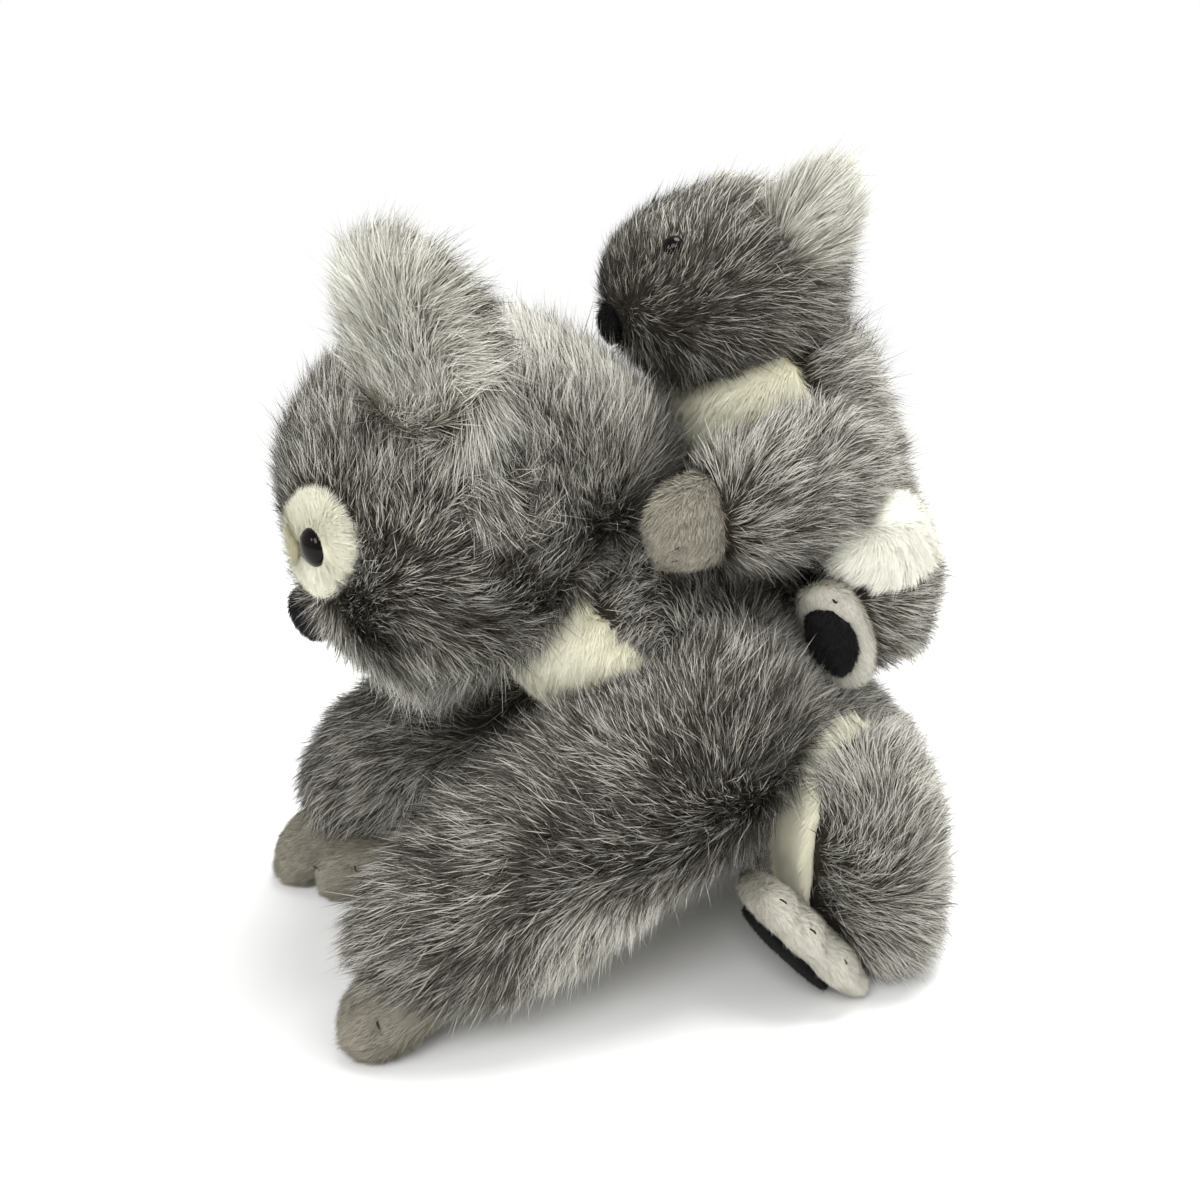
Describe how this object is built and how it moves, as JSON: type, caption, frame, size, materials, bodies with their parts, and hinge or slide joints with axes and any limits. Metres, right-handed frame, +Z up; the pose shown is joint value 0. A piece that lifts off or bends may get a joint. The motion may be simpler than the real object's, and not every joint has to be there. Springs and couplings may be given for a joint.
{
  "type": "plush koala with young",
  "caption": "Long-pile plush koala leaning forward on its hands, with a smaller plush koala lying on its back; sewn limbs swing at their seams.",
  "frame": {"origin": "on the floor, under the middle of the toy's width and length", "axes": "+Z up, -Y the way the mother faces, +X her left side"},
  "size_m": [0.164, 0.2286, 0.2519],
  "materials": {
    "grey_pile": "long-pile plush, dark at the root and silver at the tip",
    "ear_pile": "long-pile plush",
    "white_pile": "long-pile plush",
    "cream_pile": "soft mid-length plush",
    "paw": "short-pile plush with stitched folds",
    "sole": "short-pile plush",
    "nose": "short-pile plush",
    "eye": "polished",
    "lock_washer": "matt"
  },
  "bodies": {
    "torsos": {"mother_torso": "grey_pile", "mother_belly_panel": "cream_pile", "joey_torso": "grey_pile", "joey_belly_panel": "cream_pile"},
    "mother_head": {"mother_head": "grey_pile", "mother_nose": "nose", "mother_left_eye_patch": "cream_pile", "mother_left_eye": "eye", "mother_left_eye_washer": "lock_washer", "mother_right_eye_patch": "cream_pile", "mother_right_eye": "eye", "mother_right_eye_washer": "lock_washer"},
    "mother_left_ear": {"mother_left_ear": "ear_pile", "mother_left_ear_lining": "white_pile"},
    "mother_right_ear": {"mother_right_ear": "ear_pile", "mother_right_ear_lining": "white_pile"},
    "mother_left_arm": {"mother_left_arm": "grey_pile", "mother_left_arm_lining": "cream_pile", "mother_left_hand": "paw"},
    "mother_right_arm": {"mother_right_arm": "grey_pile", "mother_right_arm_lining": "cream_pile", "mother_right_hand": "paw"},
    "mother_left_leg": {"mother_left_leg": "grey_pile", "mother_left_leg_lining": "cream_pile", "mother_left_foot": "paw", "mother_left_sole": "sole"},
    "mother_right_leg": {"mother_right_leg": "grey_pile", "mother_right_leg_lining": "cream_pile", "mother_right_foot": "paw", "mother_right_sole": "sole"},
    "joey_head": {"joey_head": "grey_pile", "joey_nose": "nose", "joey_left_eye": "eye", "joey_left_eye_washer": "lock_washer", "joey_right_eye": "eye", "joey_right_eye_washer": "lock_washer"},
    "joey_left_ear": {"joey_left_ear": "ear_pile"},
    "joey_right_ear": {"joey_right_ear": "ear_pile"},
    "joey_left_arm": {"joey_left_arm": "grey_pile", "joey_left_hand": "paw"},
    "joey_left_leg": {"joey_left_leg": "grey_pile", "joey_left_leg_lining": "white_pile", "joey_left_foot": "paw", "joey_left_sole": "sole"},
    "joey_right_arm": {"joey_right_arm": "grey_pile", "joey_right_hand": "paw"},
    "joey_right_leg": {"joey_right_leg": "grey_pile", "joey_right_leg_lining": "white_pile", "joey_right_foot": "paw", "joey_right_sole": "sole"}
  },
  "joints": [
    {"name": "mother_head_nod", "type": "hinge", "parent": "torsos", "child": "mother_head", "pos_m": [0.00097, -0.01552, 0.1248], "axis": [1, 0, 0], "range_deg": [-3, 12], "stiffness_Nm_per_rad": 3},
    {"name": "mother_left_ear_flap", "type": "hinge", "parent": "mother_head", "child": "mother_left_ear", "pos_m": [0.03605, -0.07383, 0.17939], "axis": [-0.723, -0.6743, 0.1502], "range_deg": [-12, 12], "stiffness_Nm_per_rad": 0.05},
    {"name": "mother_right_ear_flap", "type": "hinge", "parent": "mother_head", "child": "mother_right_ear", "pos_m": [-0.04515, -0.06242, 0.17939], "axis": [-0.5091, 0.8475, -0.1502], "range_deg": [-12, 12], "stiffness_Nm_per_rad": 0.05},
    {"name": "mother_left_arm_swing", "type": "hinge", "parent": "torsos", "child": "mother_left_arm", "pos_m": [0.04879, -0.00052, 0.08599], "axis": [1, 0, 0], "range_deg": [-12, 12], "stiffness_Nm_per_rad": 4},
    {"name": "mother_right_arm_swing", "type": "hinge", "parent": "torsos", "child": "mother_right_arm", "pos_m": [-0.05214, -0.00029, 0.08599], "axis": [1, 0, 0], "range_deg": [-12, 12], "stiffness_Nm_per_rad": 4},
    {"name": "mother_left_leg_swing", "type": "hinge", "parent": "torsos", "child": "mother_left_leg", "pos_m": [0.05196, 0.06362, 0.04692], "axis": [1, 0, 0], "range_deg": [-8, 8], "stiffness_Nm_per_rad": 3},
    {"name": "mother_right_leg_swing", "type": "hinge", "parent": "torsos", "child": "mother_right_leg", "pos_m": [-0.05004, 0.06362, 0.04692], "axis": [1, 0, 0], "range_deg": [-8, 8], "stiffness_Nm_per_rad": 3},
    {"name": "joey_head_nod", "type": "hinge", "parent": "torsos", "child": "joey_head", "pos_m": [0.00097, 0.04509, 0.19002], "axis": [1, 0, 0], "range_deg": [-12, 2], "stiffness_Nm_per_rad": 0.6},
    {"name": "joey_left_ear_flap", "type": "hinge", "parent": "joey_head", "child": "joey_left_ear", "pos_m": [0.02296, 0.03525, 0.22659], "axis": [-0.5643, -0.465, 0.6821], "range_deg": [-12, 12], "stiffness_Nm_per_rad": 0.01},
    {"name": "joey_right_ear_flap", "type": "hinge", "parent": "joey_head", "child": "joey_right_ear", "pos_m": [-0.02104, 0.03525, 0.22659], "axis": [-0.5643, 0.465, -0.6821], "range_deg": [-12, 12], "stiffness_Nm_per_rad": 0.01},
    {"name": "joey_left_arm_swing", "type": "hinge", "parent": "torsos", "child": "joey_left_arm", "pos_m": [0.03787, 0.05417, 0.16631], "axis": [1, 0, 0], "range_deg": [-14, 2], "stiffness_Nm_per_rad": 0.15},
    {"name": "joey_left_leg_swing", "type": "hinge", "parent": "torsos", "child": "joey_left_leg", "pos_m": [0.03596, 0.07142, 0.1321], "axis": [1, 0, 0], "range_deg": [-8, 8], "stiffness_Nm_per_rad": 0.15},
    {"name": "joey_right_arm_swing", "type": "hinge", "parent": "torsos", "child": "joey_right_arm", "pos_m": [-0.03594, 0.05417, 0.16631], "axis": [1, 0, 0], "range_deg": [-14, 2], "stiffness_Nm_per_rad": 0.15},
    {"name": "joey_right_leg_swing", "type": "hinge", "parent": "torsos", "child": "joey_right_leg", "pos_m": [-0.03404, 0.07142, 0.1321], "axis": [1, 0, 0], "range_deg": [-8, 8], "stiffness_Nm_per_rad": 0.15}
  ]
}
